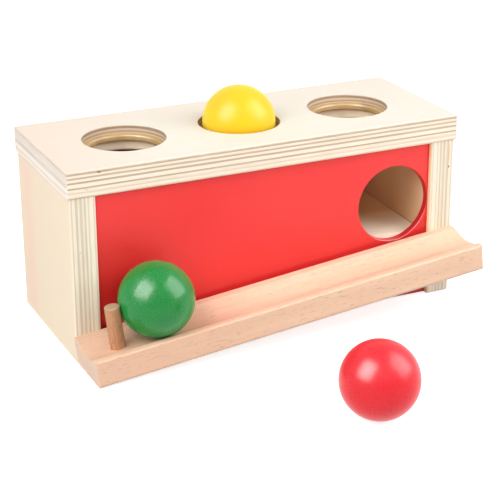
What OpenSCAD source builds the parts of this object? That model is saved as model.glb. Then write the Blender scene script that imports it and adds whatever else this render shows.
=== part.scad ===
// Object permanence box: a ball is pushed through a rubber ring in the lid, rolls down a
// hidden ramp, leaves by the hole in the front panel and runs down the track to the peg.
// Millimetres, +X to the right, +Y to the back, +Z up, standing on z = 0.

/* [Lid] */
// Length of the lid
lid_l = 284; // [260:1:320]
// Depth of the lid, front to back
lid_w = 109; // [104:1:130]
// Thickness of each of the two boards glued into the lid
board_t = 9; // [8:0.5:12]
// Overhang of the lid past each side board
end_overhang = 1.5; // [0:0.5:5]
// Overhang of the lid past the side boards' front edges
front_overhang = 1; // [0:0.5:3]
// Rounding of the boards' outer edges
edge_r = 1.5; // [0.5:0.1:2.5]

/* [Lid holes] */
// How much wider each hole in the lid is than a ball
hole_room = 6; // [3:0.1:8]
// Distance from the outer holes' middles to the lid's ends
hole_margin = 58.5; // [54:0.5:66]
// Place of the row of holes, from the middle of the lid's depth
hole_row_y = -2; // [-4:0.5:4]
// Rounding of each hole's upper rim
rim_r = 0.5; // [0.4:0.1:2]
// Rounding of each hole's lower rim
lower_rim_r = 1.8; // [0.4:0.1:2.5]

/* [Rubber rings] */
// How much narrower the hole in each ring is than a ball
ring_grip = 1.6; // [1:0.1:4]
// Thickness of each ring
ring_t = 4.4; // [3:0.1:5]
// Depth of each ring's top face below the lid's top face
ring_depth = 5.8; // [5:0.1:7]
// How far each ring reaches into the groove round its hole
ring_hold = 2.4; // [1.5:0.1:4]
// Rounding of each ring's inner edges
ring_edge_r = 1.2; // [0.4:0.1:1.4]

/* [Side boards] */
// Thickness of each side board
side_t = 18; // [17:0.5:22]
// Height of the side boards, up to the lid
side_h = 113; // [100:1:140]

/* [Front and back panels] */
// Thickness of each panel
panel_t = 5; // [4:0.5:6]
// Recess of each panel behind the side boards' edges
panel_recess = 3; // [2:0.1:6]
// Gap under each panel
panel_lift = 1; // [0:0.5:4]
// Depth of the grooves in the side boards that hold the panels and the ramp
groove_depth = 4; // [3:0.1:4.4]
// How much wider the exit hole is than a ball
exit_room = 4; // [2.5:0.1:6]
// Gap between the exit hole and the right side board
exit_side_gap = 0.5; // [0:0.1:5]
// Gap between the exit hole and the lid
exit_top_gap = 13.8; // [12:0.1:20]
// How far the exit hole's middle lies below the middle of a ball on the ramp
exit_drop = 0.7; // [0.2:0.1:1.2]
// Rounding of the exit hole's front rim
exit_rim_r = 0.8; // [0.3:0.1:1.5]

/* [Ramp] */
// Thickness of the ramp
ramp_t = 5; // [4:0.5:6]
// Slope of the ramp down to the right, in degrees
ramp_slope = 3.5; // [2:0.1:4]
// Slope of the ramp down to the front, in degrees
ramp_fall = 1.2; // [0.5:0.1:2]
// Step down from the ramp to the track at the exit hole
ramp_step = 2.4; // [1.5:0.1:4]

/* [Track] */
// Thickness of the track
track_t = 19; // [17:0.5:22]
// Width of the flat land in front of the cove
track_land = 5; // [4:0.1:16]
// Height of the track's lowest edge
track_lift = 0.5; // [0:0.1:2]
// Rounding of the track's upper long edges
track_top_r = 1.2; // [0.5:0.1:3]
// Rounding of the track's lower long edges
track_foot_r = 3; // [1:0.1:4]
// Rounding of the edges round the track's ends
track_end_r = 0.8; // [0.4:0.1:2.5]
// Rounding of the track's upright corners
track_corner_r = 2; // [1:0.1:4]
// How much wider the cove's radius is than a ball's
cove_room = 5; // [2:0.1:8]
// Depth of the cove
cove_depth = 4.6; // [3.5:0.1:5.5]
// Rounding of the cove's two edges
cove_edge_r = 1.5; // [0.5:0.1:2.5]

/* [Stop peg] */
// Diameter of the peg
peg_d = 10; // [7:0.5:12]
// Distance from the peg's middle to the track's low end
peg_inset = 22; // [19:0.5:30]
// Height of the peg above the middle of a ball that leans on it
peg_rise = 4; // [1:0.1:10]
// Depth of the peg's blind hole
peg_socket = 9; // [5:0.5:10]
// Rounding of the peg's top edge
peg_edge_r = 0.8; // [0.3:0.1:1.5]

/* [Balls] */
// Diameter of each ball
ball_d = 50; // [46:0.5:56]
// Gap between the track and the loose ball in front of it
loose_ball_gap = 80; // [20:1:160]
// Place of the loose ball along the box, from the box's middle
loose_ball_x = 1; // [-90:0.5:90]

/* [Dowels] */
// Diameter of the dowels
dowel_d = 8; // [6:0.5:8]
// Length of the dowels
dowel_l = 30; // [24:1:34]
// How far a dowel reaches into the track
dowel_in_track = 13; // [8:0.5:14]
// Distance from the outer lid dowels to the side boards' front and back edges
dowel_inset = 18; // [12:0.5:26]
// Chamfer at the dowels' ends
dowel_chamfer = 0.8; // [0.3:0.1:1.5]

/* [Fits] */
// Clearance of dowels in their holes and of boards in their grooves
fit_gap = 0.1; // [0.05:0.01:0.2]
// Clearance between a ball and what it rests on
rest_gap = 0.2; // [0.1:0.05:0.3]
// Clearance between a ball on the track and the front panel
pass_gap = 0.5; // [0.3:0.1:2]

/* [Hidden] */
$fn = 96;

// Overrun of every cut past the face that it opens
over = 1;

// Planes of the carcass
lid_t = 2 * board_t;
top_z = side_h + lid_t;
split_z = side_h + board_t;
lid_front = -lid_w / 2;
side_front = lid_front + front_overhang;
side_back = lid_w / 2;
side_d = side_back - side_front;
outer_x = lid_l / 2 - end_overhang;
inner_x = outer_x - side_t;
seat_x = inner_x + groove_depth - fit_gap;

// Dowels stand in the middle of the wood between the grooves and the outer faces
dowel_x = outer_x - (side_t - groove_depth) / 2;

// Panels, measured from the side boards' front and back edges
front_panel_y = side_front + panel_recess;
back_panel_y = side_back - panel_recess - panel_t;

// Holes in the lid, with the rings and the grooves that hold them
hole_d = ball_d + hole_room;
hole_spacing = lid_l / 2 - hole_margin;
groove_r = hole_d / 2 + ring_hold;
ring_r = groove_r - fit_gap;
ring_top = top_z - ring_depth;
ring_z = ring_top - ring_t;

// Exit hole and ramp: a ball on the ramp meets the hole a little above its middle
exit_d = ball_d + exit_room;
exit_x = inner_x - exit_side_gap - exit_d / 2;
exit_z = side_h - exit_top_gap - exit_d / 2;
exit_ramp_z = exit_z + exit_drop - ball_d / 2;
ramp_front = front_panel_y + panel_t;
ramp_d = back_panel_y - ramp_front;

// Slope of the track, from its low end to one step below the ramp at the exit hole
track_rise = exit_ramp_z - ramp_step - track_t - track_lift;
track_slope = atan(track_rise / (exit_x + lid_l / 2));

// Track, in its own frame: u up the slope, w to the front and h square to its underside
track_x = -lid_l / 2 + track_t * sin(track_slope);
track_l = (lid_l - track_t * sin(track_slope)) / cos(track_slope);
cove_r = ball_d / 2 + cove_room;
cove_half = sqrt(pow(cove_r, 2) - pow(cove_r - cove_depth, 2));
cove_lip = sqrt(pow(cove_r + cove_edge_r, 2) - pow(cove_r - cove_depth + cove_edge_r, 2));
cove_w = ball_d / 2 - panel_recess + pass_gap;
cove_floor = track_t - cove_depth;
track_w = cove_w + cove_half + track_land;

// Ball on the track: it rolls on the floor of the cove and leans on the peg
reach = ball_d / 2 + rest_gap;
run_h = cove_floor + reach;
run_u = peg_inset + peg_d / 2 + reach;
peg_foot = cove_floor - peg_socket;
peg_l = run_h + peg_rise - peg_foot;

// Ball in the middle hole: it rests on the ring's rounded inner edge
ring_hole_d = ball_d - ring_grip;
ring_bend_r = ring_hole_d / 2 + ring_edge_r;
held_z = ring_top - ring_edge_r + sqrt(pow(reach + ring_edge_r, 2) - pow(ring_bend_r, 2));

// Loose ball in front of the track
loose_ball_y = side_front - track_w - loose_ball_gap - ball_d / 2;

// The origin is under the middle of the whole set, from the lid's back to the loose ball
home_y = -(side_back + loose_ball_y - ball_d / 2) / 2;

// Height of the track's layer h above the floor, at a place x along the box
function track_z(x, h) = track_lift + track_u(x, h) * sin(track_slope) + h * cos(track_slope);

// Way up the slope to the place x, in the track's layer h
function track_u(x, h) = (x - track_x + h * sin(track_slope)) / cos(track_slope);

module home() {
    translate([0, home_y, 0]) children();
}

// Rectangle with round corners, from the origin
module rounded_rect(size, r) {
    translate([r, 0]) square([size.x - 2 * r, size.y]);
    translate([0, r]) square([size.x, size.y - 2 * r]);
    for (x = [r, size.x - r], y = [r, size.y - r]) {
        translate([x, y]) circle(r = r);
    }
}

// Block with all its edges rounded, from the origin
module eased_block(size, r) {
    intersection() {
        linear_extrude(size.z) rounded_rect([size.x, size.y], r);
        translate([0, size.y, 0]) rotate([90, 0, 0]) linear_extrude(size.y) rounded_rect([size.x, size.z], r);
        rotate([90, 0, 90]) linear_extrude(size.x) rounded_rect([size.y, size.z], r);
    }
}

// What a rounded rim takes away round a hole of diameter d, whose mouth is at z = 0
module rim_cut(d, r) {
    rotate_extrude() {
        difference() {
            translate([d / 2 - r, -r]) square([2 * r, r + over]);
            translate([d / 2 + r, -r]) circle(r = r);
        }
    }
}

// Round dowel with chamfered ends, standing on the origin
module dowel() {
    r = dowel_d / 2;
    c = dowel_chamfer;
    rotate_extrude() {
        polygon([[0, 0], [r - c, 0], [r, c], [r, dowel_l - c], [r - c, dowel_l], [0, dowel_l]]);
    }
}

module at_hole(i) {
    translate([i * hole_spacing, hole_row_y, 0]) children();
}

// The whole lid before it is split into its two boards
module lid_blank() {
    translate([-lid_l / 2, lid_front, side_h]) eased_block([lid_l, lid_w, lid_t], edge_r);
}

module lid_layer(z, t) {
    intersection() {
        lid_blank();
        translate([-lid_l / 2, lid_front, z]) cube([lid_l, lid_w, t]);
    }
}

// Groove for a ring, half in each board of the lid, with the hole through both
module hole_cuts() {
    for (i = [-1:1]) {
        at_hole(i) {
            translate([0, 0, side_h - over]) cylinder(d = hole_d, h = lid_t + 2 * over);
            translate([0, 0, ring_z]) cylinder(r = groove_r, h = ring_t + fit_gap);
            translate([0, 0, top_z]) rim_cut(hole_d, rim_r);
            translate([0, 0, side_h]) mirror([0, 0, 1]) rim_cut(hole_d, lower_rim_r);
        }
    }
}

// Places of the three lid dowels over one side board, side -1 left and 1 right
module at_lid_dowels(side) {
    for (y = [side_front + dowel_inset, (side_front + side_back) / 2, side_back - dowel_inset]) {
        translate([side * dowel_x, y, 0]) children();
    }
}

// What a dowel's hole takes away, with room round the dowel and past both its ends
module dowel_hole() {
    translate([0, 0, -fit_gap]) cylinder(d = dowel_d + 2 * fit_gap, h = dowel_l + 2 * fit_gap);
}

module lid_dowel_holes(side) {
    at_lid_dowels(side) {
        translate([0, 0, split_z - dowel_l]) dowel_hole();
    }
}

module lid_dowels(side) {
    color("#d9bf94") home() at_lid_dowels(side) {
        translate([0, 0, split_z - dowel_l]) dowel();
    }
}

// Middle of the dowel between a side board and the track, at the glued faces
module at_track_dowel(side) {
    translate([side * dowel_x, side_front, track_z(side * dowel_x, track_t / 2)]) children();
}

module track_dowel_hole(side) {
    at_track_dowel(side) {
        translate([0, -dowel_in_track, 0]) rotate([-90, 0, 0]) dowel_hole();
    }
}

module track_dowel(side) {
    color("#d9bf94") home() at_track_dowel(side) {
        translate([0, -dowel_in_track, 0]) rotate([-90, 0, 0]) dowel();
    }
}

// Slab of the ramp, tilted to the right and to the front, with room above it
module ramp_slab(room) {
    span = 2 * outer_x;
    translate([exit_x, ramp_front, exit_ramp_z]) rotate([ramp_fall, ramp_slope, 0]) {
        translate([-span, -ramp_d, -ramp_t]) cube([2 * span, 3 * ramp_d, ramp_t + room]);
    }
}

module ramp_board(half_l, room) {
    intersection() {
        ramp_slab(room);
        translate([-half_l, ramp_front, 0]) cube([2 * half_l, ramp_d, side_h]);
    }
}

// Panel in the side boards' grooves, with its front face at y
module panel_blank(y) {
    translate([-seat_x, y, panel_lift]) cube([2 * seat_x, panel_t, side_h - panel_lift]);
}

// Grooves in both side boards for a panel, open at their ends
module panel_grooves(y, half_l) {
    translate([-half_l, y, -over]) cube([2 * half_l, panel_t + fit_gap, side_h + 2 * over]);
}

module side_board(side) {
    x = side > 0 ? inner_x : -outer_x;
    half_l = inner_x + groove_depth;
    color("#e9d3ab") home() difference() {
        intersection() {
            translate([x, side_front, 0]) eased_block([side_t, side_d, side_h + edge_r], edge_r);
            translate([x, side_front, 0]) cube([side_t, side_d, side_h]);
        }
        panel_grooves(front_panel_y, half_l);
        panel_grooves(back_panel_y - fit_gap, half_l);
        ramp_board(half_l, fit_gap);
        lid_dowel_holes(side);
        track_dowel_hole(side);
    }
}

// Cove seen along the track, and what its round edges take away beside it
module cove_cut() {
    edge_share = cove_edge_r / (cove_r + cove_edge_r);
    edge_h = track_t - cove_edge_r;
    touch = [cove_lip * (1 - edge_share), edge_h + (cove_r - cove_depth + cove_edge_r) * edge_share];
    translate([0, cove_floor + cove_r]) circle(r = cove_r);
    for (side = [-1, 1]) {
        difference() {
            polygon([
                [side * cove_lip, edge_h], [side * touch.x, touch.y], [0, touch.y],
                [0, track_t + over], [side * cove_lip, track_t + over]
            ]);
            translate([side * cove_lip, edge_h]) circle(r = cove_edge_r);
        }
    }
}

// Cross-section of the track, with w running to the left of the origin
module track_section() {
    difference() {
        translate([-track_w, 0]) intersection() {
            rounded_rect([track_w, 2 * track_t], track_foot_r);
            translate([0, -track_t]) rounded_rect([track_w, 2 * track_t], track_top_r);
        }
        translate([-cove_w, 0]) cove_cut();
    }
}

module on_track() {
    translate([track_x, side_front, track_lift]) rotate([0, -track_slope, 0]) children();
}

// Foot of the peg, at the bottom of its blind hole
module at_peg() {
    on_track() translate([peg_inset, -cove_w, peg_foot]) children();
}

module ring(i) {
    color("#c9a468") home() at_hole(i) {
        translate([0, 0, ring_z]) rotate_extrude() {
            translate([ring_bend_r, 0]) square([ring_r - ring_bend_r, ring_t]);
            translate([ring_hole_d / 2, ring_edge_r]) square([ring_edge_r, ring_t - 2 * ring_edge_r]);
            for (z = [ring_edge_r, ring_t - ring_edge_r]) {
                translate([ring_bend_r, z]) circle(r = ring_edge_r);
            }
        }
    }
}

module lid_upper_board() {
    color("#f0dfbd") home() difference() {
        lid_layer(split_z, board_t);
        hole_cuts();
    }
}

module lid_lower_board() {
    color("#e6d0a6") home() difference() {
        lid_layer(side_h, board_t);
        hole_cuts();
        lid_dowel_holes(-1);
        lid_dowel_holes(1);
    }
}

module ring_left() {
    ring(-1);
}

module ring_middle() {
    ring(0);
}

module ring_right() {
    ring(1);
}

module left_side() {
    side_board(-1);
}

module right_side() {
    side_board(1);
}

module front_panel() {
    color("#cf2a32") home() difference() {
        panel_blank(front_panel_y);
        translate([exit_x, front_panel_y, exit_z]) rotate([90, 0, 0]) {
            translate([0, 0, -panel_t - over]) cylinder(d = exit_d, h = panel_t + 2 * over);
            rim_cut(exit_d, exit_rim_r);
        }
    }
}

module back_panel() {
    color("#cf2a32") home() panel_blank(back_panel_y);
}

module ramp() {
    color("#dcc193") home() ramp_board(seat_x, 0);
}

module track() {
    color("#e3b98f") home() difference() {
        on_track() intersection() {
            rotate([90, 0, 90]) linear_extrude(track_l) track_section();
            rotate([90, 0, 0]) linear_extrude(track_w) rounded_rect([track_l, track_t], track_end_r);
            translate([0, -track_w, 0]) linear_extrude(track_t) {
                rounded_rect([track_l, track_w], track_corner_r);
            }
        }
        at_peg() cylinder(d = peg_d + 2 * fit_gap, h = peg_socket + cove_depth + over);
        track_dowel_hole(-1);
        track_dowel_hole(1);
    }
}

module stop_peg() {
    r = peg_d / 2;
    color("#b98a5c") home() at_peg() rotate_extrude() {
        square([r, peg_l - peg_edge_r]);
        square([r - peg_edge_r, peg_l]);
        translate([r - peg_edge_r, peg_l - peg_edge_r]) circle(r = peg_edge_r);
    }
}

module ball_green() {
    color("#3ca555") home() on_track() translate([run_u, -cove_w, run_h]) sphere(d = ball_d);
}

module ball_yellow() {
    color("#fde437") home() at_hole(0) translate([0, 0, held_z]) sphere(d = ball_d);
}

module ball_red() {
    color("#d8262c") home() translate([loose_ball_x, loose_ball_y, ball_d / 2]) sphere(d = ball_d);
}

module lid_dowels_left() {
    lid_dowels(-1);
}

module lid_dowels_right() {
    lid_dowels(1);
}

module track_dowel_left() {
    track_dowel(-1);
}

module track_dowel_right() {
    track_dowel(1);
}

lid_upper_board();
lid_lower_board();
ring_left();
ring_middle();
ring_right();
left_side();
right_side();
front_panel();
back_panel();
ramp();
track();
stop_peg();
ball_green();
ball_yellow();
ball_red();
lid_dowels_left();
lid_dowels_right();
track_dowel_left();
track_dowel_right();
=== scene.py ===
import bpy
import math
from mathutils import Matrix, Vector


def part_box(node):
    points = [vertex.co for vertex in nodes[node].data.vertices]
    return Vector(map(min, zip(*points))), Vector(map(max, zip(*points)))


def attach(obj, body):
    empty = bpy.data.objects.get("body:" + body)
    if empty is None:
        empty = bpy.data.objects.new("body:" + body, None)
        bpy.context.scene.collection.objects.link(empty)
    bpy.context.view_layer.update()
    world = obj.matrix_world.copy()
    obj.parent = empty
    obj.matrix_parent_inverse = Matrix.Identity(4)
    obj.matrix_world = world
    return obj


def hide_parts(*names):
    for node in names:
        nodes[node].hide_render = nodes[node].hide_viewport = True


# Object permanence box: looks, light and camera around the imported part. Lengths in metres.
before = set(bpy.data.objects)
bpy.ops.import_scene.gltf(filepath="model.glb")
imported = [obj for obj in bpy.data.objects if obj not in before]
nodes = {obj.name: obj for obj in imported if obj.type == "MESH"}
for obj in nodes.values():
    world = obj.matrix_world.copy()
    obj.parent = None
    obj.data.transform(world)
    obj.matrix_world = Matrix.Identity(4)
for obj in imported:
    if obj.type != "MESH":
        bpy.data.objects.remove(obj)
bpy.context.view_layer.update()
print("frame loaded with", len(nodes), "nodes")


# Small helpers for node trees

noiseSpan = (0.3, 0.7)  # nearly all values of a noise lie in here
noiseMiddle = 0.5


def put(tree, kind, inputs=None, **settings):
    node = tree.nodes.new(kind)
    for name, value in settings.items():
        setattr(node, name, value)
    for name, value in (inputs or {}).items():
        if isinstance(value, bpy.types.NodeSocket):
            tree.links.new(value, node.inputs[name])
        else:
            node.inputs[name].default_value = value
    return node


def calc(tree, operation, *values, clamp=False):
    inputs = dict(enumerate(values))
    return put(tree, "ShaderNodeMath", inputs, operation=operation, use_clamp=clamp).outputs[0]


def times(tree, a, b):
    return calc(tree, "MULTIPLY", a, b)


def plus(tree, a, b, clamp=False):
    return calc(tree, "ADD", a, b, clamp=clamp)


def minus(tree, a, b, clamp=False):
    return calc(tree, "SUBTRACT", a, b, clamp=clamp)


def vectorCalc(tree, operation, a, b):
    return put(tree, "ShaderNodeVectorMath", {0: a, 1: b}, operation=operation).outputs[0]


def scaled(tree, vector, factor):
    return put(tree, "ShaderNodeVectorMath", {0: vector, "Scale": factor}, operation="SCALE").outputs[0]


def lengthOf(tree, vector):
    return put(tree, "ShaderNodeVectorMath", {0: vector}, operation="LENGTH").outputs["Value"]


def splitPlace(tree, place):
    return put(tree, "ShaderNodeSeparateXYZ", {0: place}).outputs


def alongZ(tree, value):
    return put(tree, "ShaderNodeCombineXYZ", {2: value}).outputs[0]


def mixColor(tree, factor, a, b, blend="MIX"):
    node = put(tree, "ShaderNodeMix", {0: factor, 6: a, 7: b}, data_type="RGBA", blend_type=blend)
    return node.outputs[2]


def brighten(tree, color, value):
    return put(tree, "ShaderNodeHueSaturation", {"Color": color, "Value": value}).outputs[0]


def remap(tree, value, low, high, to=(0, 1)):
    values = {"Value": value, "From Min": low, "From Max": high, "To Min": to[0], "To Max": to[1]}
    return put(tree, "ShaderNodeMapRange", values).outputs["Result"]


def noise(tree, place, scale=1.0, detail=2.0, roughness=0.5, output="Fac"):
    values = {"Vector": place, "Scale": scale, "Detail": detail, "Roughness": roughness}
    return put(tree, "ShaderNodeTexNoise", values).outputs[output]


def newGroup(name, inputs, outputs):
    tree = bpy.data.node_groups.new(name, "ShaderNodeTree")
    for label, kind, value in inputs:
        socket = tree.interface.new_socket(label, in_out="INPUT", socket_type=kind)
        socket.default_value = value
    for label, kind in outputs:
        tree.interface.new_socket(label, in_out="OUTPUT", socket_type=kind)
    return tree, tree.nodes.new("NodeGroupInput"), tree.nodes.new("NodeGroupOutput")


def useGroup(tree, group, **inputs):
    # fleckLength stands for the input "Fleck length"
    names = {k: "".join(" " + c.lower() if c.isupper() else c for c in k).capitalize() for k in inputs}
    return put(tree, "ShaderNodeGroup", {names[k]: v for k, v in inputs.items()}, node_tree=group)


def rgb(color):
    return (*color, 1.0)


def newMaterial(name, finish):
    material = bpy.data.materials.new(name)
    material.use_nodes = True
    tree = material.node_tree
    tree.nodes.clear()
    shader = tree.nodes.new("ShaderNodeBsdfPrincipled")
    for label, value in finish.items():
        shader.inputs[label].default_value = value
    output = tree.nodes.new("ShaderNodeOutputMaterial")
    tree.links.new(shader.outputs[0], output.inputs["Surface"])
    return material, tree, shader


def objectPlace(tree, location=(0, 0, 0), turn=(0, 0, 0)):
    coordinates = tree.nodes.new("ShaderNodeTexCoord")
    values = {"Vector": coordinates.outputs["Object"], "Location": location, "Rotation": turn}
    return put(tree, "ShaderNodeMapping", values).outputs[0]


def dress(tree, shader, color, rough=None):
    tree.links.new(color, shader.inputs["Base Color"])
    if rough is not None:
        tree.links.new(rough, shader.inputs["Roughness"])


def bump(tree, shader, height, distance, strength):
    values = {"Height": height, "Distance": distance, "Strength": strength}
    node = put(tree, "ShaderNodeBump", values)
    tree.links.new(node.outputs[0], shader.inputs["Normal"])


def paint(name, material):
    piece = nodes[name]
    piece.data.materials.clear()
    piece.data.materials.append(material)


# Wood grain that runs along X of the place it is given. A noise is given as scale, detail, roughness.

grainShape = dict(drift=(9.0, 1.0, 0.5), streak=(1.0, 3.0, 0.55), fine=(5.0, 3.0, 0.6), fleck=(1.0, 1.0, 0.4),
                  fleckSoftness=0.07)


def makeWoodGrain():
    tree, source, result = newGroup("woodGrain", [
        ("Place", "NodeSocketVector", (0, 0, 0)), ("Length", "NodeSocketFloat", 0.06),
        ("Width", "NodeSocketFloat", 0.004), ("Warp", "NodeSocketFloat", 0.002),
        ("Fleck length", "NodeSocketFloat", 0.003), ("Fleck width", "NodeSocketFloat", 0.0004),
        ("Fleck share", "NodeSocketFloat", 0.4),
    ], [("Streak", "NodeSocketFloat"), ("Fine", "NodeSocketFloat"), ("Fleck", "NodeSocketFloat")])
    get = source.outputs
    drift = noise(tree, get["Place"], *grainShape["drift"], output="Color")
    drift = vectorCalc(tree, "SUBTRACT", drift, (noiseMiddle, noiseMiddle, noiseMiddle))
    place = vectorCalc(tree, "ADD", get["Place"], scaled(tree, drift, get["Warp"]))

    def stretched(length, width):
        size = put(tree, "ShaderNodeCombineXYZ", {0: length, 1: width, 2: width}).outputs[0]
        return vectorCalc(tree, "DIVIDE", place, size)

    streak = noise(tree, stretched(get["Length"], get["Width"]), *grainShape["streak"])
    fine = noise(tree, stretched(get["Length"], get["Width"]), *grainShape["fine"])
    fleck = noise(tree, stretched(get["Fleck length"], get["Fleck width"]), *grainShape["fleck"])
    edge = minus(tree, 1.0, get["Fleck share"])
    fleck = remap(tree, fleck, edge, plus(tree, edge, grainShape["fleckSoftness"]))
    for label, value in (("Streak", streak), ("Fine", fine), ("Fleck", fleck)):
        tree.links.new(value, result.inputs[label])
    return tree


# Tone of a plywood board at a depth from 0 to 1 through it, with waves in its glue lines

plyShape = dict(waveScale=28.0, patchScale=30.0, patchDepth=26.0, patchTone=(-0.16, 0.16),
                hairScale=90.0, hairDepth=60.0, hairDetail=3.0)


def makePlyLayers(name, bands):
    tree, source, result = newGroup(name, [
        ("Depth", "NodeSocketFloat", 0.0), ("Place", "NodeSocketVector", (0, 0, 0)),
        ("Wave", "NodeSocketFloat", 0.012),
    ], [("Tone", "NodeSocketFloat"), ("Hair", "NodeSocketFloat")])
    get = source.outputs
    wave = minus(tree, noise(tree, get["Place"], plyShape["waveScale"]), noiseMiddle)
    depth = plus(tree, get["Depth"], times(tree, wave, get["Wave"]))
    ramp = put(tree, "ShaderNodeValToRGB", {"Fac": depth})
    ramp.color_ramp.interpolation = "EASE"
    points = ramp.color_ramp.elements
    for position, tone in bands[1:-1]:
        points.new(position).color = (tone, tone, tone, 1)
    for point, (position, tone) in ((points[0], bands[0]), (points[-1], bands[-1])):
        point.position = position
        point.color = (tone, tone, tone, 1)

    def layered(scale, depthScale):
        along = scaled(tree, get["Place"], scale)
        return vectorCalc(tree, "ADD", along, alongZ(tree, times(tree, depth, depthScale)))

    patch = noise(tree, layered(plyShape["patchScale"], plyShape["patchDepth"]))
    patch = remap(tree, patch, *noiseSpan, plyShape["patchTone"])
    tone = plus(tree, ramp.outputs["Color"], patch, clamp=True)
    hair = noise(tree, layered(plyShape["hairScale"], plyShape["hairDepth"]), detail=plyShape["hairDetail"])
    tree.links.new(tone, result.inputs["Tone"])
    tree.links.new(hair, result.inputs["Hair"])
    return tree


# Slow change of tone over a surface

def makeSoftCloud():
    tree, source, result = newGroup("softCloud", [
        ("Place", "NodeSocketVector", (0, 0, 0)), ("Size", "NodeSocketFloat", 0.06),
    ], [("Tone", "NodeSocketFloat")])
    scale = calc(tree, "DIVIDE", 1.0, source.outputs["Size"])
    tone = remap(tree, noise(tree, source.outputs["Place"], scale), *noiseSpan)
    tree.links.new(tone, result.inputs["Tone"])
    return tree


# One mark in the wood, such as a knot: 1 at its centre, 0 outside its size

markShape = dict(raggedScale=1500.0, ragged=(-0.3, 0.3), edge=(1.15, 0.55))


def makeWoodMark():
    tree, source, result = newGroup("woodMark", [
        ("Place", "NodeSocketVector", (0, 0, 0)), ("Centre", "NodeSocketVector", (0, 0, 0)),
        ("Size", "NodeSocketVector", (0.001, 0.001, 0.001)),
    ], [("Mask", "NodeSocketFloat")])
    get = source.outputs
    away = vectorCalc(tree, "SUBTRACT", get["Place"], get["Centre"])
    away = lengthOf(tree, vectorCalc(tree, "DIVIDE", away, get["Size"]))
    ragged = noise(tree, get["Place"], markShape["raggedScale"])
    ragged = remap(tree, ragged, *noiseSpan, markShape["ragged"])
    mask = remap(tree, plus(tree, away, ragged), *markShape["edge"])
    tree.links.new(mask, result.inputs["Mask"])
    return tree


# Painted shade: a thin dark line where two pieces meet at a plane, standing in for the shade in the joint

def makePaintedJointShade():
    tree, source, result = newGroup("paintedJointShade", [
        ("Value", "NodeSocketFloat", 0.0), ("At", "NodeSocketFloat", 0.0),
        ("Width", "NodeSocketFloat", 0.0005),
    ], [("Mask", "NodeSocketFloat")])
    get = source.outputs
    away = calc(tree, "ABSOLUTE", minus(tree, get["Value"], get["At"]))
    mask = minus(tree, 1.0, calc(tree, "DIVIDE", away, get["Width"]), clamp=True)
    tree.links.new(mask, result.inputs["Mask"])
    return tree


woodGrain = makeWoodGrain()
softCloud = makeSoftCloud()
woodMark = makeWoodMark()
paintedJointShade = makePaintedJointShade()
print("shared shader groups made")


# Plywood of the lid and the side boards. Bands give depth and tone, from the outer face inwards.

plywood = dict(
    grain=dict(length=0.11, width=0.011, warp=0.02, fleckLength=0.004, fleckWidth=0.0003, fleckShare=0.36),
    cloudSize=0.09, cloudPart=0.6, streakSpan=(0.35, 0.7), streakPart=0.4, backPart=0.8, blushPart=0.85,
    innerFrom=(0.45, 0.55), fleck=(0.5, 0.33, 0.2), fleckPart=0.07, hair=(0.93, 1.05),
    outerSkin=(0.012, 0.03), innerSkin=(0.985, 0.97), markDepth=0.003,
    specular=0.15, roughness=0.5, roughChange=0.16, bumpDistance=0.00012, bumpStrength=0.5,
)
lidPly = dict(
    light=(0.97, 0.84, 0.68), dark=(0.50, 0.38, 0.27), wave=0.014,
    # inner is the darker colour of the underside inside the box: painted shade
    face=(0.825, 0.785, 0.69), faceWarm=(0.825, 0.765, 0.65), inner=(0.84, 0.66, 0.46),
    blush=(0.84, 0.69, 0.58), blushAxis=0, blushSpan=(-0.06, -0.14),
    back=(0.86, 0.765, 0.655), backSpan=(0.075, 0.13),
    holeRadius=0.028, holeEdge=(0.0004, 0.0001),
    # the under-ring colour lightens the hole walls under the rings: painted light against their shadow
    overRing=(0.74, 0.68, 0.62), paintedUnderRingLight=(1.0, 0.86, 0.63), paintedUnderRingPart=0.8,
    # the first band darkens the rounded top edge: partly the face ply's brownish edge, partly painted shade
    # against the lamp light there
    bands=[(0.0, 0.5), (0.035, 0.45), (0.06, 0.05), (0.115, 0.1), (0.135, 0.9), (0.20, 0.9),
           (0.225, 0.15), (0.27, 0.2), (0.29, 0.9), (0.36, 0.9), (0.385, 0.1), (0.435, 0.12),
           (0.455, 0.95), (0.57, 0.95), (0.59, 0.1), (0.635, 0.15), (0.655, 0.9), (0.73, 0.85),
           (0.76, 0.6), (0.80, 0.6), (0.83, 0.95), (0.90, 0.9), (0.92, 0.65), (0.95, 0.65),
           (0.97, 0.95), (1.0, 0.95)],
    endLight=(0.95, 0.85, 0.75), endDark=(0.57, 0.46, 0.39), endSpan=(0.1408, 0.1414),
    endBands=[(0.0, 0.55), (0.04, 0.4), (0.11, 0.35), (0.14, 0.75), (0.20, 0.7), (0.22, 0.45),
              (0.25, 0.75), (0.38, 0.7), (0.41, 0.55), (0.49, 0.5), (0.51, 0.2), (0.54, 0.95),
              (0.56, 1.0), (0.72, 1.0), (0.75, 0.55), (0.78, 0.6), (0.81, 1.0), (0.90, 0.95),
              (0.93, 0.7), (1.0, 0.85)],
    marks=[dict(at=(-0.11996, 0.12896), size=(0.0016, 0.0006), color=(0.16, 0.07, 0.04), strength=0.9),
           dict(at=(-0.1143, 0.1292), size=(0.0040, 0.0005), color=(0.50, 0.16, 0.08), strength=0.45),
           dict(at=(-0.12868, 0.11871), size=(0.0005, 0.0005), color=(0.35, 0.18, 0.10), strength=0.6)],
)
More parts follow.
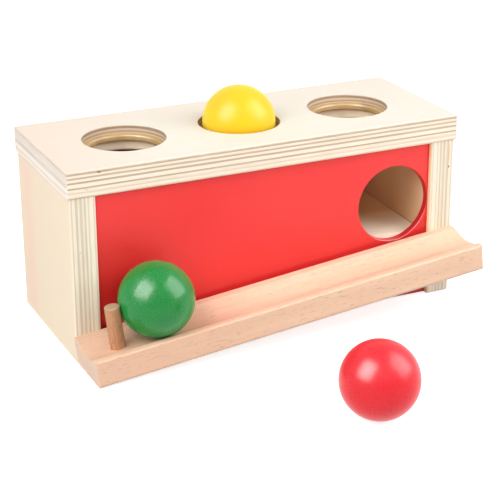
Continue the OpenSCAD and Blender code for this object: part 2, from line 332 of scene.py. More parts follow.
sidePly = dict(
    light=(0.92, 0.83, 0.68), dark=(0.64, 0.54, 0.40), wave=0.012,
    face=(0.90, 0.772, 0.595), faceWarm=(0.905, 0.75, 0.56),
    # inner darkens the faces inside the box as painted shade; the inner pale colour is painted light towards
    # the front, where light comes in through the exit hole
    inner=(0.72, 0.40, 0.18), innerPaintedLight=(0.95, 0.66, 0.40), innerPaintedLightSpan=(0.085, 0.04),
    blush=(0.93, 0.70, 0.55), blushAxis=1, blushSpan=(0.104, 0.118),
    blushEndSpan=(0.136, 0.128), blushEndPart=(0.35, 1.0),
    bands=[(0.0, 1.0), (0.055, 1.0), (0.07, 0.2), (0.10, 0.3), (0.13, 0.9), (0.21, 0.85),
           (0.24, 0.1), (0.30, 0.2), (0.33, 0.75), (0.38, 0.75), (0.40, 0.15), (0.46, 0.2),
           (0.49, 0.7), (0.55, 0.65), (0.57, 0.05), (0.605, 0.15), (0.63, 0.95), (0.68, 0.95),
           (0.70, 0.35), (0.73, 0.45), (0.77, 1.0), (0.88, 1.0), (0.90, 0.4), (0.93, 0.45),
           (0.96, 1.0), (1.0, 1.0)],
)
sideBoards = dict(
    left=dict(
        seed=(1.2, 0.4, 0.7),
        marks=[dict(at=(-0.1345, 0.0765), size=(0.0004, 0.0006), color=(0.35, 0.24, 0.14), strength=0.5)]),
    right=dict(
        seed=(2.6, 1.1, 0.2),
        marks=[dict(at=(0.13675, 0.1032), size=(0.00045, 0.0085), color=(0.72, 0.44, 0.16), strength=0.75),
               dict(at=(0.1368, 0.09405), size=(0.0005, 0.0009), color=(0.10, 0.05, 0.02), strength=0.9)]),
)
ringNames = ("ring_left", "ring_middle", "ring_right")
upright = (0, math.radians(90), 0)


def shadeHoles(tree, place, color, z):
    # the cut walls of the holes: brown over the rings, and under them mixed toward a pale colour as painted
    # light against the rings' shadow
    away = None
    for name in ringNames:
        low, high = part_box(name)
        offset = vectorCalc(tree, "SUBTRACT", place, tuple((low + high) / 2))
        far = lengthOf(tree, vectorCalc(tree, "MULTIPLY", offset, (1, 1, 0)))
        away = far if away is None else calc(tree, "MINIMUM", away, far)
    wall = remap(tree, away, *(lidPly["holeRadius"] + edge for edge in lidPly["holeEdge"]))
    low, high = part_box("ring_left")
    over = remap(tree, z, low.z, high.z)
    brown = mixColor(tree, 1.0, color, rgb(lidPly["overRing"]), "MULTIPLY")
    pale = mixColor(tree, lidPly["paintedUnderRingPart"], color, rgb(lidPly["paintedUnderRingLight"]))
    return mixColor(tree, wall, color, mixColor(tree, over, pale, brown))


def shadeFace(tree, board, grain, place, at, depth):
    # at holds the three parts of the place on the object
    cloud = useGroup(tree, softCloud, place=place, size=plywood["cloudSize"])
    streak = remap(tree, grain.outputs["Streak"], *plywood["streakSpan"], (0.0, plywood["streakPart"]))
    tone = plus(tree, times(tree, cloud.outputs["Tone"], plywood["cloudPart"]), streak, clamp=True)
    face = mixColor(tree, tone, rgb(board["face"]), rgb(board["faceWarm"]))
    if "back" in board:
        back = times(tree, remap(tree, at[1], *board["backSpan"]), plywood["backPart"])
        face = mixColor(tree, back, face, rgb(board["back"]))
    blush = remap(tree, at[board["blushAxis"]], *board["blushSpan"])
    if "blushEndSpan" in board:
        end = remap(tree, at[board["blushAxis"]], *board["blushEndSpan"], board["blushEndPart"])
        blush = calc(tree, "MINIMUM", blush, end)
    face = mixColor(tree, times(tree, blush, plywood["blushPart"]), face, rgb(board["blush"]))
    # faces inside the box: painted shade, with painted light towards the front on the side boards
    inner = rgb(board["inner"])
    if "innerPaintedLight" in board:
        inner = mixColor(tree, remap(tree, at[1], *board["innerPaintedLightSpan"]), inner, rgb(board["innerPaintedLight"]))
    face = mixColor(tree, remap(tree, depth, *plywood["innerFrom"]), face, inner)
    flecks = times(tree, grain.outputs["Fleck"], plywood["fleckPart"])
    return mixColor(tree, flecks, face, rgb(plywood["fleck"]))


def shadeEdge(tree, board, layer, place, at, depth):
    edge = mixColor(tree, layer.outputs["Tone"], rgb(board["dark"]), rgb(board["light"]))
    if "endBands" in board:
        # the ends show the plies the other way round from the long edges
        ends = useGroup(tree, lidEndLayers, depth=depth, place=place, wave=board["wave"])
        ends = mixColor(tree, ends.outputs["Tone"], rgb(board["endDark"]), rgb(board["endLight"]))
        isEnd = remap(tree, calc(tree, "ABSOLUTE", at[0]), *board["endSpan"])
        edge = mixColor(tree, isEnd, edge, ends)
    return brighten(tree, edge, remap(tree, layer.outputs["Hair"], *noiseSpan, plywood["hair"]))


def makePlywood(name, board, layers, marks, front, depthAxis, depthSpan, seed, turn=(0, 0, 0)):
    material, tree, shader = newMaterial(name, {"Specular IOR Level": plywood["specular"]})
    flat = objectPlace(tree)
    at = splitPlace(tree, flat)
    place = objectPlace(tree, seed, turn)
    depth = remap(tree, at[depthAxis], *depthSpan)
    layer = useGroup(tree, layers, depth=depth, place=place, wave=board["wave"])
    grain = useGroup(tree, woodGrain, place=place, **plywood["grain"])
    face = shadeFace(tree, board, grain, place, at, depth)
    edge = shadeEdge(tree, board, layer, place, at, depth)
    outerSkin = remap(tree, depth, *plywood["outerSkin"])
    inside = calc(tree, "MINIMUM", outerSkin, remap(tree, depth, *plywood["innerSkin"]))
    color = mixColor(tree, inside, face, edge)
    if "holeRadius" in board:
        color = shadeHoles(tree, flat, color, at[2])
    for mark in marks:
        (x, z), (width, height) = mark["at"], mark["size"]
        size = (width, plywood["markDepth"], height)
        spot = useGroup(tree, woodMark, place=flat, centre=(x, front, z), size=size)
        spot = times(tree, spot.outputs["Mask"], mark["strength"])
        color = mixColor(tree, spot, color, rgb(mark["color"]))
    fine = grain.outputs["Fine"]
    dress(tree, shader, color, plus(tree, plywood["roughness"], times(tree, fine, plywood["roughChange"])))
    height = plus(tree, fine, times(tree, layer.outputs["Tone"], inside))
    bump(tree, shader, height, plywood["bumpDistance"], plywood["bumpStrength"])
    return material


lidLayers = makePlyLayers("lidPlyLayers", lidPly["bands"])
lidEndLayers = makePlyLayers("lidEndLayers", lidPly["endBands"])
sideLayers = makePlyLayers("sidePlyLayers", sidePly["bands"])
lidLow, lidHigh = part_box("lid_lower_board")[0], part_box("lid_upper_board")[1]
lidPlywood = makePlywood("lidPlywood", lidPly, lidLayers, lidPly["marks"], front=lidLow.y, depthAxis=2,
                         depthSpan=(lidHigh.z, lidLow.z), seed=(0.3, 0.1, 0.2))
paint("lid_upper_board", lidPlywood)
paint("lid_lower_board", lidPlywood)
for side, board in sideBoards.items():
    low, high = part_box(side + "_side")
    span = (low.x, high.x) if side == "left" else (high.x, low.x)
    paint(side + "_side", makePlywood(side + "SidePlywood", sidePly, sideLayers, board["marks"], front=low.y,
                                      depthAxis=0, depthSpan=span, seed=board["seed"], turn=upright))
print("plywood boards done")


# Thin plywood of the hidden ramp, with painted shade: darker towards the back and in a dark line beside the
# side boards

rampWood = dict(
    # the deep colour over its span is painted shade towards the back; the joint colour is painted shade
    # beside the side boards
    base=(0.97, 0.84, 0.68), warm=(0.94, 0.78, 0.60), deep=(0.62, 0.33, 0.14), paintedShadeSpan=(0.052, 0.086),
    pore=(0.45, 0.30, 0.18), porePart=0.15, jointShade=(0.28, 0.16, 0.09), jointShadeWidth=0.0009,
    grain=dict(length=0.12, width=0.012, warp=0.015, fleckLength=0.005, fleckWidth=0.0004, fleckShare=0.38),
    seed=(0.7, 0.3, 0.9), specular=0.3, roughness=0.6, bumpDistance=0.0001, bumpStrength=0.5,
)


def makeRampPlywood():
    finish = {"Roughness": rampWood["roughness"], "Specular IOR Level": rampWood["specular"]}
    material, tree, shader = newMaterial("rampPlywood", finish)
    grain = useGroup(tree, woodGrain, place=objectPlace(tree, rampWood["seed"]), **rampWood["grain"])
    streak = remap(tree, grain.outputs["Streak"], *noiseSpan)
    color = mixColor(tree, streak, rgb(rampWood["base"]), rgb(rampWood["warm"]))
    pores = times(tree, grain.outputs["Fleck"], rampWood["porePart"])
    color = mixColor(tree, pores, color, rgb(rampWood["pore"]))
    at = splitPlace(tree, objectPlace(tree))
    # painted shade: darker towards the back, and in a line beside the side boards
    color = mixColor(tree, remap(tree, at[1], *rampWood["paintedShadeSpan"]), color, rgb(rampWood["deep"]))
    jointShade = useGroup(tree, paintedJointShade, value=calc(tree, "ABSOLUTE", at[0]), at=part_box("right_side")[0].x,
                     width=rampWood["jointShadeWidth"])
    color = mixColor(tree, jointShade.outputs["Mask"], color, rgb(rampWood["jointShade"]))
    dress(tree, shader, color)
    bump(tree, shader, grain.outputs["Fine"], rampWood["bumpDistance"], rampWood["bumpStrength"])
    return material


paint("ramp", makeRampPlywood())
print("ramp done")


# Beech of the track, the peg and the dowels. The slope is the track's, in degrees.

beech = dict(
    warp=0.004, cloudSize=0.05, cloudPart=0.25, streakSpan=(0.3, 0.72), streakPart=0.6, fineSpan=(0.35, 0.7),
    finePart=0.15, paintedShadePart=0.7, dotScale=1600.0, dotSpan=(0.35, 0.65), dotValue=(0.9, 1.06),
    specular=0.25, roughness=0.42, roughChange=0.2, bumpDistance=0.0001, bumpStrength=0.5,
)
trackWood = dict(
    base=(0.845, 0.60, 0.415), warm=(0.77, 0.49, 0.34), pore=(0.40, 0.20, 0.12), porePart=0.55,
    grain=dict(length=0.09, width=0.006, fleckLength=0.006, fleckWidth=0.0005, fleckShare=0.35),
    # the track darkens towards its left end over its deep span: painted shade
    ends=(0.80, 0.56, 0.42), endDepth=0.0008, paintedShadeSpan=(0.02, -0.13), slope=6.26, seed=(0.2, 0.5, 0.1),
)
pegWood = dict(
    base=(0.68, 0.35, 0.18), warm=(0.40, 0.18, 0.085), pore=(0.22, 0.10, 0.055), porePart=0.6,
    grain=dict(length=0.05, width=0.0014, fleckLength=0.005, fleckWidth=0.0003, fleckShare=0.42),
    ends=(0.49, 0.315, 0.19), endDepth=0.0006, seed=(0.9, 0.2, 0.6),
)
dowelWood = dict(
    base=(0.78, 0.58, 0.38), warm=(0.70, 0.48, 0.30), pore=(0.42, 0.26, 0.15), porePart=0.3,
    grain=dict(length=0.05, width=0.002, fleckLength=0.004, fleckWidth=0.0003, fleckShare=0.38),
    uprightSeed=(0.4, 0.8, 0.3), crossSeed=(0.5, 0.2, 0.8),
)


def shadeCutEnds(tree, wood, place, turn, span, color):
    # the ends show the ends of the fibres: a greyer tone with fine dots
    along = splitPlace(tree, objectPlace(tree, turn=turn))[0]
    inward = calc(tree, "MINIMUM", minus(tree, along, span[0]), minus(tree, span[1], along))
    cut = remap(tree, inward, wood["endDepth"], wood["endDepth"] / 2)
    dots = noise(tree, place, beech["dotScale"])
    dots = remap(tree, dots, *beech["dotSpan"], beech["dotValue"])
    return mixColor(tree, cut, color, brighten(tree, rgb(wood["ends"]), dots))


def makeBeech(name, wood, turn, seed, span=None):
    material, tree, shader = newMaterial(name, {"Specular IOR Level": beech["specular"]})
    place = objectPlace(tree, seed, turn)
    grain = useGroup(tree, woodGrain, place=place, warp=beech["warp"], **wood["grain"])
    streak, fine, fleck = (grain.outputs[label] for label in ("Streak", "Fine", "Fleck"))
    cloud = useGroup(tree, softCloud, place=place, size=beech["cloudSize"])
    tone = times(tree, remap(tree, streak, *beech["streakSpan"]), beech["streakPart"])
    tone = plus(tree, tone, times(tree, cloud.outputs["Tone"], beech["cloudPart"]))
    tone = plus(tree, tone, remap(tree, fine, *beech["fineSpan"], (0.0, beech["finePart"])))
    # painted shade: darker towards one end along X
    if "paintedShadeSpan" in wood:
        across = splitPlace(tree, objectPlace(tree))[0]
        deep = remap(tree, across, *wood["paintedShadeSpan"], (0.0, beech["paintedShadePart"]))
        tone = plus(tree, tone, deep, clamp=True)
    color = mixColor(tree, tone, rgb(wood["base"]), rgb(wood["warm"]))
    color = mixColor(tree, times(tree, fleck, wood["porePart"]), color, rgb(wood["pore"]))
    if span:
        color = shadeCutEnds(tree, wood, place, turn, span, color)
    dress(tree, shader, color, plus(tree, beech["roughness"], times(tree, fine, beech["roughChange"])))
    bump(tree, shader, minus(tree, fine, fleck), beech["bumpDistance"], beech["bumpStrength"])
    return material


def spanAlong(name, direction):
    places = [Vector(v.co).dot(direction) for v in nodes[name].data.vertices]
    return min(places), max(places)


slope = math.radians(trackWood["slope"])
alongTrack = Vector((math.cos(slope), 0, math.sin(slope)))
upPeg = Vector((-math.sin(slope), 0, math.cos(slope)))
trackTurn = (0, slope, 0)
trackSpan = spanAlong("track", alongTrack)
paint("track", makeBeech("trackBeech", trackWood, trackTurn, trackWood["seed"], trackSpan))
pegTurn = (0, slope + math.radians(90), 0)  # turns the peg's length on to X
pegSpan = spanAlong("stop_peg", upPeg)
paint("stop_peg", makeBeech("pegBeech", pegWood, pegTurn, pegWood["seed"], pegSpan))
print("beech pieces done")


# Pieces grown by geometry nodes

def newGeometryTree(name, inputs):
    tree = bpy.data.node_groups.new(name, "GeometryNodeTree")
    tree.interface.new_socket("Geometry", in_out="OUTPUT", socket_type="NodeSocketGeometry")
    keys = {}
    for label, kind in inputs:
        keys[label] = tree.interface.new_socket(label, in_out="INPUT", socket_type=kind).identifier
    return tree, tree.nodes.new("NodeGroupInput"), tree.nodes.new("NodeGroupOutput"), keys


def grow(name, tree, keys, values):
    maker = bpy.data.objects.new(name + "Maker", bpy.data.meshes.new(name + "Maker"))
    bpy.context.scene.collection.objects.link(maker)
    modifier = maker.modifiers.new("grow", "NODES")
    modifier.node_group = tree
    for label, value in values.items():
        modifier[keys[label]] = value
    graph = bpy.context.evaluated_depsgraph_get()
    mesh = bpy.data.meshes.new_from_object(maker.evaluated_get(graph), depsgraph=graph)
    mesh.name = name
    maker.modifiers.remove(modifier)
    bpy.data.objects.remove(maker)
    piece = bpy.data.objects.new(name, mesh)
    bpy.context.scene.collection.objects.link(piece)
    return piece


def finishTree(tree, result, shape, finish):
    real = put(tree, "GeometryNodeRealizeInstances", {0: shape}).outputs[0]
    done = put(tree, "GeometryNodeSetMaterial", {"Geometry": real, "Material": finish}).outputs[0]
    tree.links.new(done, result.inputs[0])


def smoothBelow(tree, shape, angle):
    values = {"Geometry": shape, "Shade Smooth": True}
    smooth = put(tree, "GeometryNodeSetShadeSmooth", values, domain="FACE").outputs[0]
    bend = tree.nodes.new("GeometryNodeInputMeshEdgeAngle").outputs[0]
    sharp = calc(tree, "GREATER_THAN", bend, math.radians(angle))
    values = {"Geometry": smooth, "Selection": sharp, "Shade Smooth": False}
    return put(tree, "GeometryNodeSetShadeSmooth", values, domain="EDGE").outputs[0]


# Tan rubber rings, each with a darker patch as of glue, at an angle in degrees round it

ringRubber = dict(
    base=(0.49, 0.31, 0.125), pale=(0.62, 0.425, 0.19), cloudSize=0.02,
    patch=(0.36, 0.21, 0.08), patchPart=0.55,
    patchAngles=dict(ring_left=112, ring_right=28, ring_middle=60), patchInset=0.006,
    patchSize=(0.0045, 0.006, 0.004), skinScale=900.0, specular=0.5, roughness=(0.36, 0.50),
    bumpDistance=0.00005, bumpStrength=0.4, edge=0.0012, edgePoints=5, steps=160, smoothAngle=40,
)


def makeTanRubber():
    material, tree, shader = newMaterial("tanRubber", {"Specular IOR Level": ringRubber["specular"]})
    place = objectPlace(tree)
    cloud = useGroup(tree, softCloud, place=place, size=ringRubber["cloudSize"])
    color = mixColor(tree, cloud.outputs["Tone"], rgb(ringRubber["base"]), rgb(ringRubber["pale"]))
    for name, degrees in ringRubber["patchAngles"].items():
        low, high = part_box(name)
        angle = math.radians(degrees)
        reach = (high.x - low.x) / 2 - ringRubber["patchInset"]
        centre = (low + high) / 2 + Vector((math.cos(angle), math.sin(angle), 0)) * reach
        glued = useGroup(tree, woodMark, place=place, centre=tuple(centre), size=ringRubber["patchSize"])
        glued = times(tree, glued.outputs["Mask"], ringRubber["patchPart"])
        color = mixColor(tree, glued, color, rgb(ringRubber["patch"]))
    skin = noise(tree, place, ringRubber["skinScale"])
    dress(tree, shader, color, remap(tree, skin, *noiseSpan, ringRubber["roughness"]))
    bump(tree, shader, skin, ringRubber["bumpDistance"], ringRubber["bumpStrength"])
    return material


def makeRingTree():
    tree, source, result, keys = newGeometryTree("rubberRing", [
        ("Middle", "NodeSocketVector"), ("Radius", "NodeSocketFloat"), ("Width", "NodeSocketFloat"),
        ("Height", "NodeSocketFloat"), ("Edge", "NodeSocketFloat"), ("Steps", "NodeSocketInt"),
        ("Finish", "NodeSocketMaterial")])
    get = source.outputs
    values = {"Resolution": get["Steps"], "Radius": get["Radius"]}
    path = put(tree, "GeometryNodeCurvePrimitiveCircle", values).outputs["Curve"]
    values = {"Width": get["Width"], "Height": get["Height"]}
    profile = put(tree, "GeometryNodeCurvePrimitiveQuadrilateral", values).outputs[0]
    values = {"Curve": profile, "Count": ringRubber["edgePoints"], "Radius": get["Edge"],
              "Limit Radius": True}
    profile = put(tree, "GeometryNodeFilletCurve", values, mode="POLY").outputs[0]
    band = put(tree, "GeometryNodeCurveToMesh", {"Curve": path, "Profile Curve": profile}).outputs[0]
    band = smoothBelow(tree, band, ringRubber["smoothAngle"])
    values = {"Geometry": band, "Translation": get["Middle"]}
    finishTree(tree, result, put(tree, "GeometryNodeTransform", values).outputs[0], get["Finish"])
    return tree, keys


def ringInnerRadius(name, middle):
    return min(math.hypot(v.co.x - middle.x, v.co.y - middle.y) for v in nodes[name].data.vertices)


tanRubber = makeTanRubber()
ringTree, ringKeys = makeRingTree()
for name in ringNames:
    low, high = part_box(name)
    middle = (low + high) / 2
    outer = (high.x - low.x) / 2
    inner = ringInnerRadius(name, middle)
    piece = grow(name.replace("ring_", "rubber_ring_"), ringTree, ringKeys, {
        "Middle": tuple(middle), "Radius": (outer + inner) / 2, "Width": outer - inner,
        "Height": high.z - low.z, "Edge": ringRubber["edge"], "Steps": ringRubber["steps"],
        "Finish": tanRubber})
    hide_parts(name)
    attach(piece, "box")
print("rubber rings done")


# Fluted beech dowels

dowelShape = dict(chamfer=0.0008, flutes=16, fluteDepth=0.0003, profileSteps=96, smoothAngle=30, perSide=3)


def makeDowelTree():
    tree, source, result, keys = newGeometryTree("flutedDowels", [
        ("Radius", "NodeSocketFloat"), ("Length", "NodeSocketFloat"), ("Chamfer", "NodeSocketFloat"),
        ("Flutes", "NodeSocketInt"), ("Flute depth", "NodeSocketFloat"), ("Profile steps", "NodeSocketInt"),
        ("First", "NodeSocketVector"), ("Step", "NodeSocketVector"), ("Count", "NodeSocketInt"),
        ("Turn", "NodeSocketVector"), ("Finish", "NodeSocketMaterial")])
    get = source.outputs

    # points along the dowel: two at the ends, two where the chamfers start
    points = 4
    middle = (points - 1) / 2
    line = put(tree, "GeometryNodeCurvePrimitiveLine", {"Start": (0, 0, -1), "End": (0, 0, 1)}).outputs[0]
    line = put(tree, "GeometryNodeResampleCurve", {"Curve": line, "Count": points}, mode="COUNT").outputs[0]
    side = minus(tree, tree.nodes.new("GeometryNodeInputIndex").outputs[0], middle)
    inward = minus(tree, middle, calc(tree, "ABSOLUTE", side))
    half = minus(tree, times(tree, get["Length"], 0.5), times(tree, inward, get["Chamfer"]))
    spot = alongZ(tree, times(tree, calc(tree, "SIGN", side), half))
    line = put(tree, "GeometryNodeSetPosition", {"Geometry": line, "Position": spot}).outputs[0]
    cut = times(tree, minus(tree, 1.0, inward), get["Chamfer"])
    scale = minus(tree, 1.0, calc(tree, "DIVIDE", cut, get["Radius"]))

    # round profile with evenly spaced flutes
    values = {"Resolution": get["Profile steps"], "Radius": get["Radius"]}
    profile = put(tree, "GeometryNodeCurvePrimitiveCircle", values).outputs["Curve"]
    factor = tree.nodes.new("GeometryNodeSplineParameter").outputs["Factor"]
    angle = times(tree, times(tree, factor, 2 * math.pi), get["Flutes"])
    dip = times(tree, minus(tree, 1.0, calc(tree, "COSINE", angle)), 0.5)
    dip = calc(tree, "DIVIDE", times(tree, dip, get["Flute depth"]), get["Radius"])
    here = tree.nodes.new("GeometryNodeInputPosition").outputs[0]
    pull = scaled(tree, here, times(tree, dip, -1.0))
    profile = put(tree, "GeometryNodeSetPosition", {"Geometry": profile, "Offset": pull}).outputs[0]

    values = {"Curve": line, "Profile Curve": profile, "Scale": scale, "Fill Caps": True}
    dowel = put(tree, "GeometryNodeCurveToMesh", values).outputs[0]
    dowel = smoothBelow(tree, dowel, dowelShape["smoothAngle"])
    values = {"Count": get["Count"], "Start Location": get["First"], "Offset": get["Step"]}
    row = put(tree, "GeometryNodeMeshLine", values, mode="OFFSET").outputs[0]
    values = {"Points": row, "Instance": dowel, "Rotation": get["Turn"]}
    placed = put(tree, "GeometryNodeInstanceOnPoints", values).outputs[0]
    finishTree(tree, result, placed, get["Finish"])
    return tree, keys


def growDowels(name, first, step, count, length, radius, turn, finish):
    piece = grow(name.replace("dowel", "fluted_dowel"), dowelTree, dowelKeys, {
        "Radius": radius, "Length": length, "Chamfer": dowelShape["chamfer"], "Flutes": dowelShape["flutes"],
        "Flute depth": dowelShape["fluteDepth"], "Profile steps": dowelShape["profileSteps"],
        "First": tuple(first), "Step": tuple(step), "Count": count, "Turn": turn, "Finish": finish})
    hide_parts(name)
    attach(piece, "box")


crossTurn = (math.radians(90), 0, 0)
dowelTree, dowelKeys = makeDowelTree()
uprightDowel = makeBeech("uprightDowelBeech", dowelWood, upright, dowelWood["uprightSeed"])
crossDowel = makeBeech("crossDowelBeech", dowelWood, (0, 0, math.radians(90)), dowelWood["crossSeed"])
for name in ("lid_dowels_left", "lid_dowels_right"):
    low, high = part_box(name)
    middle = (low + high) / 2
    radius = (high.x - low.x) / 2
    first = Vector((middle.x, low.y + radius, middle.z))
    step = Vector((0, (high.y - low.y - 2 * radius) / (dowelShape["perSide"] - 1), 0))
    growDowels(name, first, step, dowelShape["perSide"], high.z - low.z, radius, (0, 0, 0), uprightDowel)
for name in ("track_dowel_left", "track_dowel_right"):
    low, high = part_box(name)
    radius = (high.x - low.x) / 2
    growDowels(name, (low + high) / 2, (0, 0, 0), 1, high.y - low.y, radius, crossTurn, crossDowel)
print("fluted dowels done")


# Satin red paint of the panels, with painted shade: darker at the joints, in the front panel's bore and low
# at its left, in a band over the track, and on the faces inside the box

panelPaint = dict(
    # low, shade and the joint, foot, band, bore and face parts are painted shade
    base=(0.86, 0.028, 0.024), deep=(0.79, 0.016, 0.015), cloudSize=0.12, shade=(0.34, 0.008, 0.014),
    jointShadeWidth=0.0018, footShadeWidth=0.005, jointShadePart=0.6, low=(0.56, 0.004, 0.006),
    shadowSpanX=(-0.05, -0.12), shadowSpanZ=(0.115, 0.04), shadowPower=1.5, shadeBandHeight=0.014, shadeBandPart=0.6,
    exitHole=(0.095, 0, 0.0722), exitRadius=0.027, boreEdge=(0.0003, 0.0001), boreShadePart=0.4,
    faceEdge=(0.0003, 0.0001), innerFaceShadePart=0.75,
    peelScale=420.0, specular=0.5, roughness=(0.32, 0.41), bumpDistance=0.00004, bumpStrength=0.4,
)


def shadeFrontPanel(tree, place, at, color, lines):
    # painted shadow low at the left, and painted shade in a band over the track
    low = remap(tree, at[2], *panelPaint["shadowSpanZ"])
    left = remap(tree, at[0], *panelPaint["shadowSpanX"])
    lowLeftShadow = calc(tree, "POWER", times(tree, left, low), panelPaint["shadowPower"])
    values = {0: place, 1: tuple(upPeg)}
    height = put(tree, "ShaderNodeVectorMath", values, operation="DOT_PRODUCT").outputs["Value"]
    trackTop = spanAlong("track", upPeg)[1]
    band = remap(tree, height, trackTop + panelPaint["shadeBandHeight"], trackTop, (0.0, panelPaint["shadeBandPart"]))
    color = mixColor(tree, calc(tree, "MAXIMUM", lowLeftShadow, band), color, rgb(panelPaint["low"]))
    # painted shade in the bore of the exit hole
    away = vectorCalc(tree, "SUBTRACT", place, panelPaint["exitHole"])
    away = lengthOf(tree, vectorCalc(tree, "MULTIPLY", away, (1, 0, 1)))
    boreShade = remap(tree, away, *(panelPaint["exitRadius"] + edge for edge in panelPaint["boreEdge"]))
    return color, calc(tree, "MAXIMUM", lines, times(tree, boreShade, panelPaint["boreShadePart"]))


def makeSatinPaint(name, isFront):
    material, tree, shader = newMaterial(name, {"Specular IOR Level": panelPaint["specular"]})
    place = objectPlace(tree)
    cloud = useGroup(tree, softCloud, place=place, size=panelPaint["cloudSize"])
    color = mixColor(tree, cloud.outputs["Tone"], rgb(panelPaint["base"]), rgb(panelPaint["deep"]))
    at = splitPlace(tree, place)

    def line(value, where, width):
        jointShade = useGroup(tree, paintedJointShade, value=value, at=where, width=width)
        return times(tree, jointShade.outputs["Mask"], panelPaint["jointShadePart"])

    # painted shade along the side boards, under the lid and at the foot
    lines = line(calc(tree, "ABSOLUTE", at[0]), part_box("right_side")[0].x, panelPaint["jointShadeWidth"])
    for height, width in ((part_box("left_side")[1].z, panelPaint["jointShadeWidth"]),
                          (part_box("front_panel")[0].z, panelPaint["footShadeWidth"])):
        lines = calc(tree, "MAXIMUM", lines, line(at[2], height, width))
    if isFront:
        color, lines = shadeFrontPanel(tree, place, at, color, lines)
        faceSpan = [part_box("front_panel")[1].y - edge for edge in panelPaint["faceEdge"]]
    else:
        faceSpan = [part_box("back_panel")[0].y + edge for edge in panelPaint["faceEdge"]]
    # painted shade on the face inside the box
    innerFaceShade = times(tree, remap(tree, at[1], *faceSpan), panelPaint["innerFaceShadePart"])
    color = mixColor(tree, calc(tree, "MAXIMUM", lines, innerFaceShade), color, rgb(panelPaint["shade"]))
    peel = noise(tree, place, panelPaint["peelScale"])
    dress(tree, shader, color, remap(tree, peel, *noiseSpan, panelPaint["roughness"]))
    bump(tree, shader, peel, panelPaint["bumpDistance"], panelPaint["bumpStrength"])
    return material


paint("front_panel", makeSatinPaint("frontRedPaint", True))
paint("back_panel", makeSatinPaint("backRedPaint", False))
print("panels done")


# Gloss lacquer of the balls: the skin's grain is at its full strength where it faces the eye; a painted
# reflection pales the rim

lacquer = dict(cloudSize=0.03, paintedRimPower=1.5, skin=(1300.0, 3.0, 0.6), calmFrom=(0.25, 0.6),
               skinSpan=(0.4, 0.6), bumpDistance=0.00005)
balls = dict(
    green=dict(node="ball_green", base=(0.001, 0.22, 0.031), deep=(0.001, 0.20, 0.026),
               rim=(0.008, 0.34, 0.07), roughness=0.22, speckle=0.11, shine=0.40, skin=1.0),
    yellow=dict(node="ball_yellow", base=(0.92, 0.55, 0.020), deep=(0.91, 0.54, 0.015),
                rim=(0.93, 0.76, 0.065), roughness=0.36, speckle=0.03, shine=0.10, skin=0.1),
    red=dict(node="ball_red", base=(0.77, 0.024, 0.038), deep=(0.74, 0.014, 0.022),
             rim=(0.95, 0.05, 0.065), roughness=0.28, speckle=0.02, shine=0.24, skin=0.08),
)


def makeLacquer(name, ball):
    material, tree, shader = newMaterial(name + "Lacquer", {"Specular IOR Level": ball["shine"]})
    place = objectPlace(tree)
    cloud = useGroup(tree, softCloud, place=place, size=lacquer["cloudSize"])
    color = mixColor(tree, cloud.outputs["Tone"], rgb(ball["base"]), rgb(ball["deep"]))
    facing = tree.nodes.new("ShaderNodeLayerWeight").outputs["Facing"]
    # painted reflection: the rim pales with the facing angle
    color = mixColor(tree, calc(tree, "POWER", facing, lacquer["paintedRimPower"]), color, rgb(ball["rim"]))
    lively = remap(tree, facing, *lacquer["calmFrom"], (1.0, 0.0))
    skin = minus(tree, noise(tree, place, *lacquer["skin"]), noiseMiddle)
    skin = plus(tree, noiseMiddle, times(tree, skin, lively))
    roughSpan = (ball["roughness"] - ball["speckle"], ball["roughness"] + ball["speckle"])
    dress(tree, shader, color, remap(tree, skin, *lacquer["skinSpan"], roughSpan))
    bump(tree, shader, skin, lacquer["bumpDistance"], ball["skin"])
    return material


for name, ball in balls.items():
    paint(ball["node"], makeLacquer(name, ball))
print("balls done")


# Floor, lights, world and camera. The shine lamps make only highlights, the front and back lamps none.

studio = dict(
    floorSize=8.0, floorDrop=0.0001, floorColor=(0.64, 0.64, 0.64), floorRoughness=0.9,
    floorGlow=0.76, glowSpan=(0.6, 1.6), worldLight=0.24, aim=(0.0, 0.0, 0.07),
)
lamps = dict(
    leftLight=dict(toward=(-0.73, -0.18, 0.66), distance=1.5, size=(0.95, 1.3), power=15.2),
    rightLight=dict(toward=(0.675, -0.42, 0.60), distance=1.1, size=(0.80, 0.92), power=8.6),
    frontLight=dict(toward=(-0.30, -0.80, 0.60), distance=1.5, size=(1.6, 0.9), power=8.3, glossy=False),
    backLight=dict(toward=(0.25, 0.88, 0.35), distance=1.5, size=(1.6, 0.9), power=5.0, glossy=False),
    leftShine=dict(toward=(-0.73, -0.18, 0.66), distance=1.5, size=(1.05, 1.3), power=112.0,
                   diffuse=False),
    rightShine=dict(toward=(0.675, -0.42, 0.60), distance=1.1, size=(0.86, 1.0), power=42.0,
                    diffuse=False),
)
camera = dict(position=(-0.42439, -0.85239, 0.45134), yaw=24.773, pitch=21.978, roll=0.306, lens=113.352,
              sensor=36.0, near=0.05, far=20.0)


def seenRays(tree):
    paths = tree.nodes.new("ShaderNodeLightPath")
    seen = calc(tree, "MAXIMUM", paths.outputs["Is Camera Ray"], paths.outputs["Is Glossy Ray"])
    return calc(tree, "MAXIMUM", seen, paths.outputs["Is Transmission Ray"])


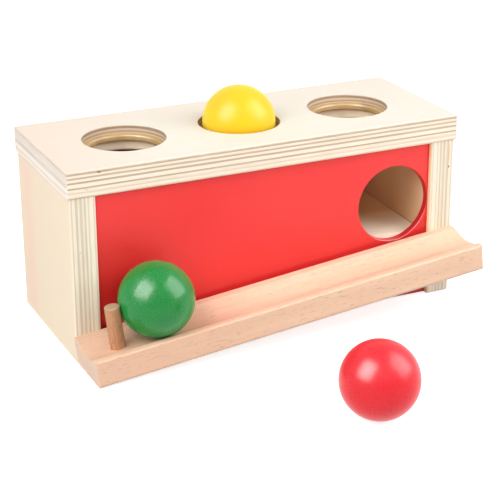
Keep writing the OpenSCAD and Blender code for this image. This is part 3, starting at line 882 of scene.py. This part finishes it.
def makeFloor():
    half = studio["floorSize"] / 2
    mesh = bpy.data.meshes.new("floor")
    corners = [(-half, -half), (half, -half), (half, half), (-half, half)]
    mesh.from_pydata([(x, y, -studio["floorDrop"]) for x, y in corners], [], [(0, 1, 2, 3)])
    floor = bpy.data.objects.new("floor", mesh)
    bpy.context.scene.collection.objects.link(floor)
    material, tree, shader = newMaterial("whiteFloor", {
        "Base Color": rgb(studio["floorColor"]), "Roughness": studio["floorRoughness"],
        "Specular IOR Level": 0.0, "Emission Color": (1, 1, 1, 1)})
    glow = remap(tree, lengthOf(tree, objectPlace(tree)), *studio["glowSpan"], (studio["floorGlow"], 1.0))
    tree.links.new(times(tree, seenRays(tree), glow), shader.inputs["Emission Strength"])
    mesh.materials.append(material)


def makeWorld():
    world = bpy.data.worlds.new("whiteStudio")
    bpy.context.scene.world = world
    world.use_nodes = True
    tree = world.node_tree
    tree.nodes.clear()
    strength = remap(tree, seenRays(tree), 0.0, 1.0, (studio["worldLight"], 1.0))
    background = put(tree, "ShaderNodeBackground", {"Color": (1, 1, 1, 1), "Strength": strength})
    output = tree.nodes.new("ShaderNodeOutputWorld")
    tree.links.new(background.outputs[0], output.inputs[0])


def makeLamp(name, box):
    light = bpy.data.lights.new(name, "AREA")
    light.shape = "RECTANGLE"
    light.size, light.size_y = box["size"]
    light.energy = box["power"]
    lamp = bpy.data.objects.new(name, light)
    bpy.context.scene.collection.objects.link(lamp)
    toward = Vector(box["toward"]).normalized()
    lamp.location = Vector(studio["aim"]) + toward * box["distance"]
    lamp.rotation_euler = toward.to_track_quat("Z", "Y").to_euler()
    lamp.visible_glossy = box.get("glossy", True)
    lamp.visible_diffuse = box.get("diffuse", True)


def makeCamera():
    data = bpy.data.cameras.new("camera")
    data.sensor_width = camera["sensor"]
    data.lens = camera["lens"]
    data.clip_start = camera["near"]
    data.clip_end = camera["far"]
    eye = bpy.data.objects.new("camera", data)
    bpy.context.scene.collection.objects.link(eye)
    turn = Matrix.Rotation(math.radians(-camera["yaw"]), 4, "Z")
    turn = turn @ Matrix.Rotation(math.radians(90 - camera["pitch"]), 4, "X")
    turn = turn @ Matrix.Rotation(math.radians(-camera["roll"]), 4, "Z")
    eye.matrix_world = Matrix.Translation(camera["position"]) @ turn
    bpy.context.scene.camera = eye


makeFloor()
makeWorld()
for name, lamp in lamps.items():
    makeLamp(name, lamp)
makeCamera()
bpy.context.scene.view_settings.view_transform = "Standard"
print("studio done")
